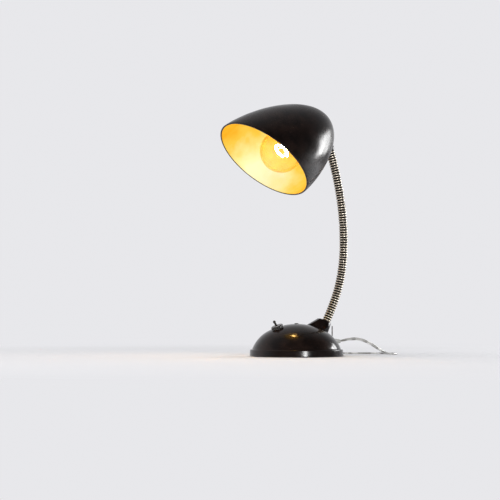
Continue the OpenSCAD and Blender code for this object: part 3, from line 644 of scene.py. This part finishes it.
def shade_line(thinner, steps=36):
    """The shade's half outline from its opening to its crown, thinned by a wall."""
    return [((shade_r - thinner) * cos(pi / 2 * i / steps),
             (shade_h - thinner) * sin(pi / 2 * i / steps) ** fullness)
            for i in range(steps + 1)]


lip_depth = 0.22 * shade_wall
rim = [(shade_r - shade_wall * (1 - cos(a)) / 2, -lip_depth * sin(a)) for a in
       [pi * k / 8 for k in range(1, 8)]]
mesh = spun(list(reversed(shade_line(0))) + rim + shade_line(shade_wall))
hollow, lip_top = Vector((0, 0, 0.03)), 0.0004
lining = [face.normal.dot(face.calc_center_median() - hollow) < 0
          and face.calc_center_median().z > lip_top for face in mesh.faces]
slide = Matrix.Shear("XY", 4, (0, rake))
bmesh.ops.transform(mesh, matrix=in_shade @ slide, verts=mesh.verts)
shade = placed("shade_shell", mesh)

lug_r, lug_tip_r, lug_l, lug_middle, lug_tip = 0.0076, 0.0052, 0.0178, 0.0131, 0.022
mesh = bmesh.new()
head_axis = leaning(Vector((0, *neck_end(lengths))), leans[lengths])
bmesh.ops.create_cone(mesh, cap_ends=True, segments=48, radius1=lug_r, radius2=lug_tip_r,
                      depth=lug_l, matrix=head_axis @ Matrix.Translation((0, 0, lug_middle)))
bmesh.ops.create_uvsphere(mesh, u_segments=48, v_segments=24, radius=lug_tip_r,
                          matrix=head_axis @ Matrix.Translation((0, 0, lug_tip)))
lug = placed("shade_lug", mesh)

# The lampholder's pad: a disc whose far face is drawn up, point by point, into the wall.
pad_r, pad_low, pad_step = 0.0165, 0.082, 0.0004
mesh = bmesh.new()
bmesh.ops.create_circle(mesh, cap_ends=True, segments=64, radius=pad_r,
                        matrix=on_bulb @ Matrix.Translation((0, 0, pad_low)))
top = bmesh.ops.extrude_face_region(mesh, geom=mesh.faces[:])["geom"]
to_crown = (on_bulb.to_3x3() @ Vector((0, 0, 1))) * pad_step
for vert in [v for v in top if isinstance(v, bmesh.types.BMVert)]:
    while True:
        spot = in_shade.inverted() @ vert.co
        height = spot.z / (shade_h - shade_wall / 2)
        if height >= 1 or Vector((spot.x, spot.y - rake * spot.z)).length > (
                shade_r - shade_wall / 2) * cos(asin(height ** (1 / fullness))):
            break
        vert.co += to_crown
bmesh.ops.recalc_face_normals(mesh, faces=mesh.faces)
pad = placed("holder_pad", mesh)

satin = phenolic("handled phenolic moulding", 0.17, 0.32)
satin.on(shade, lug, pad)
# The enamel's emission is a painted glow of the bulb's light: palest at a spot near the bulb,
# turning orange away from it, broken by brush streaks.
enamel = Finish("lit enamel", roughness=0.4, emission_strength=0.9, specular_ior_level=0.15)
painted_glow_centre = tuple(in_shade @ Vector((-0.060, 0.036, 0.018)))
near = enamel.node("VectorMath", (enamel.place(), painted_glow_centre), out="Value", operation="DISTANCE")
streaks = enamel.noise(40, 4)
painted_glow_falloff = near.between(0.012, 0.088) + (streaks - 0.5) * 0.7
lit = enamel.node("ValToRGB", (painted_glow_falloff,), stops=[
    (0.0, (1.0, 0.98, 0.60)), (0.35, (1.0, 0.86, 0.32)),
    (0.65, (1.0, 0.64, 0.07)), (1.0, (1.0, 0.44, 0.0))])
enamel.feed(base_color=enamel.blend(streaks, (0.03, 0.012, 0.001), (0.05, 0.024, 0.003)),
            emission_color=lit)
shade.data.materials.append(enamel.material)
shade.data.polygons.foreach_set("material_index", [int(inside) for inside in lining])
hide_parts("shade")
for piece in (shade, lug, pad):
    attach(piece, "head")

# ---------------------------------------------------------------- lampholder and bulb
# The lampholder is screwed to the pad in the crown. The bulb is a clear globe with a ring
# of coiled filament on five support wires around its stem.
satin.on("holder_base", "holder_shell")
nodes["holder_base"].data.shade_smooth()

globe_r, neck_r, neck_l, neck_pull, glass_wall = 0.0325, 0.0115, 0.044, 0.009, 0.0009
globe_ends = 38


def glass_line(thinner):
    """The bulb's half outline from its far pole to its neck."""
    line = [((globe_r - thinner) * cos(radians(a)), (globe_r - thinner) * sin(radians(a)))
            for a in range(-90, globe_ends + 1, 4)]
    a = radians(globe_ends)
    p = (globe_r - thinner) * Vector((cos(a), sin(a)))
    q = Vector((neck_r - thinner, neck_l))
    leaving = p + neck_pull * Vector((-sin(a), cos(a)))
    arriving = q - Vector((0, neck_pull))
    for k in range(1, 17):
        u = k / 16
        line.append(tuple(p * (1 - u) ** 3 + 3 * leaving * u * (1 - u) ** 2
                          + 3 * arriving * u * u * (1 - u) + q * u ** 3))
    return line


mesh = spun(glass_line(0) + list(reversed(glass_line(glass_wall))), steps=64)
bmesh.ops.transform(mesh, matrix=on_bulb, verts=mesh.verts)
globe = placed("bulb_globe", mesh)
# The globe's faint orange emission is a painted glow of the lit filament on the glass.
glass = Finish("bulb glass", roughness=0.04, emission_strength=0.4)
haze_and_painted_glow = glass.noise(60, 3)
glass.feed(base_color=glass.blend(haze_and_painted_glow, (0.20, 0.10, 0.02), (0.30, 0.17, 0.03)),
           emission_color=glass.blend(haze_and_painted_glow, (0.45, 0.20, 0.02), (0.70, 0.36, 0.05)))
edge = glass.node("LayerWeight", {"Blend": 0.5}, out="Facing")
clear = glass.node("BsdfTransparent", {"Color": (1.0, 0.965, 0.83, 1)})
glass.show(edge ** 3 * 0.8 + haze_and_painted_glow.between(0.4, 0.8) * 0.12, clear, glass.plain)
glass.on(globe)
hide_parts("bulb_glass")
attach(globe, "head")

ring_r, ring_gap, filament_r = 0.011, 50, 0.0014
ring_line = [Vector((ring_r * sin(a), ring_r * cos(a), 0)) for a in
             [radians(ring_gap / 2 + (360 - ring_gap) * k / 60) for k in range(61)]]
coil_edge = [Vector((filament_r * cos(a), 0, filament_r * sin(a)))
             for a in [2 * pi * k / 12 for k in range(12)]]
filament = swept("filament_ring", coil_edge, ring_line)
filament.data.transform(on_bulb)
glowing = Finish("glowing filament", roughness=0.5, emission_strength=200)
turns = glowing.noise(1200, 1)
glowing.feed(base_color=glowing.blend(turns, (0.9, 0.6, 0.3), (1, 0.8, 0.5)),
             emission_color=glowing.blend(turns, (1.0, 0.55, 0.16), (1.0, 0.70, 0.32)))
glowing.on(filament)
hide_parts("bulb_filament")
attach(filament, "head")

stem_low, stem_foot_r, wire_r, wire_count, wires_in = 0.0215, 0.0017, 0.0003, 5, 2
between_wires = (360 - ring_gap - 2 * wires_in) / (wire_count - 1)
mesh = bmesh.new()
for k in range(wire_count):
    a = radians(ring_gap / 2 + wires_in + between_wires * k)
    hook = Vector((ring_r * sin(a), ring_r * cos(a), 0))
    foot = Vector((stem_foot_r * sin(a), stem_foot_r * cos(a), stem_low))
    wire = foot - hook
    bmesh.ops.create_cone(mesh, cap_ends=True, segments=10, radius1=wire_r, radius2=wire_r,
                          depth=wire.length, matrix=on_bulb @ Matrix.Translation((hook + foot) / 2)
                          @ wire.to_track_quat("Z", "Y").to_matrix().to_4x4())
wires = placed("filament_wires", mesh)
# The support wires' orange emission is a painted glow around the filament.
support_wire_painted_glow = Finish("support wire with painted glow", metallic=1.0, roughness=0.4, emission_strength=20)
wire_tone_and_painted_glow = support_wire_painted_glow.noise(300, 2)
support_wire_painted_glow.feed(base_color=support_wire_painted_glow.blend(wire_tone_and_painted_glow, (0.5, 0.4, 0.3), (0.7, 0.6, 0.5)),
              emission_color=support_wire_painted_glow.blend(wire_tone_and_painted_glow, (0.8, 0.35, 0.05), (1.0, 0.6, 0.2)))
support_wire_painted_glow.on(wires)
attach(wires, "head")

# The stem's emission is a painted glow that fills the middle of the filament's ring.
stem_glass = Finish("stem glass", roughness=0.15, emission_strength=4)
warm = stem_glass.noise(200, 2)
stem_glass.feed(base_color=stem_glass.blend(warm, (0.55, 0.45, 0.28), (0.75, 0.65, 0.45)),
                emission_color=stem_glass.blend(warm, (0.45, 0.25, 0.06), (0.6, 0.36, 0.12)))
stem_glass.on("bulb_stem")

bulb_light = shining("bulb light", "POINT", 0.3, on_bulb.translation)
bulb_light.data.color, bulb_light.data.shadow_soft_size = (1.0, 0.66, 0.28), 0.012
